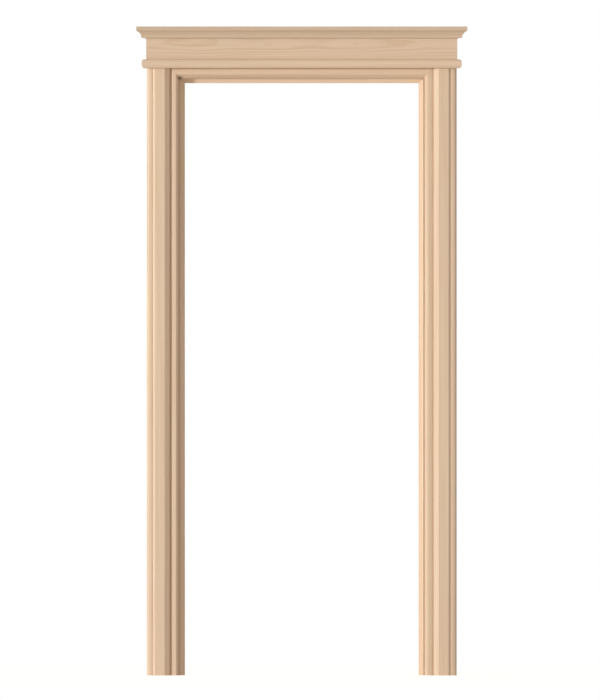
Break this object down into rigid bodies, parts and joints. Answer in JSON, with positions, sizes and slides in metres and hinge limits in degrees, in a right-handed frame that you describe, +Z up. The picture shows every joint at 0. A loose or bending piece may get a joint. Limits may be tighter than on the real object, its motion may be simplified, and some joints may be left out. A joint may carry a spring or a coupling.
{
  "type": "door frame",
  "caption": "Timber door frame with mitred jambs, planted stops, moulded side casings and a header with a returned crown moulding and bead.",
  "frame": {"origin": "on the floor, in the middle of the frame's box", "axes": "+X across the doorway to the right as seen from the moulded front, +Y from the front to the back, +Z up"},
  "size_m": [1.1326, 0.1786, 2.219],
  "materials": {
    "jamb_timber": "planed and sanded, unfinished",
    "stop_timber": "planed and sanded, unfinished",
    "casing_timber": "planed and sanded, unfinished",
    "header_timber": "planed and sanded, unfinished",
    "dowel_timber": "turned",
    "screw_zinc": "zinc plated"
  },
  "bodies": {
    "root": {"jamb_left": "jamb_timber", "jamb_right": "jamb_timber", "jamb_head": "jamb_timber", "stop_left": "stop_timber", "stop_right": "stop_timber", "stop_head": "stop_timber", "casing_left": "casing_timber", "casing_right": "casing_timber", "frieze_board": "header_timber", "crown_front": "header_timber", "crown_return_left": "header_timber", "crown_return_right": "header_timber", "bead_front": "header_timber", "bead_return_left": "header_timber", "bead_return_right": "header_timber", "corner_screw_left_front": "screw_zinc", "corner_screw_left_back": "screw_zinc", "corner_screw_right_front": "screw_zinc", "corner_screw_right_back": "screw_zinc", "header_dowel_left_inner": "dowel_timber", "header_dowel_left_outer": "dowel_timber", "header_dowel_right_inner": "dowel_timber", "header_dowel_right_outer": "dowel_timber"}
  },
  "joints": []
}
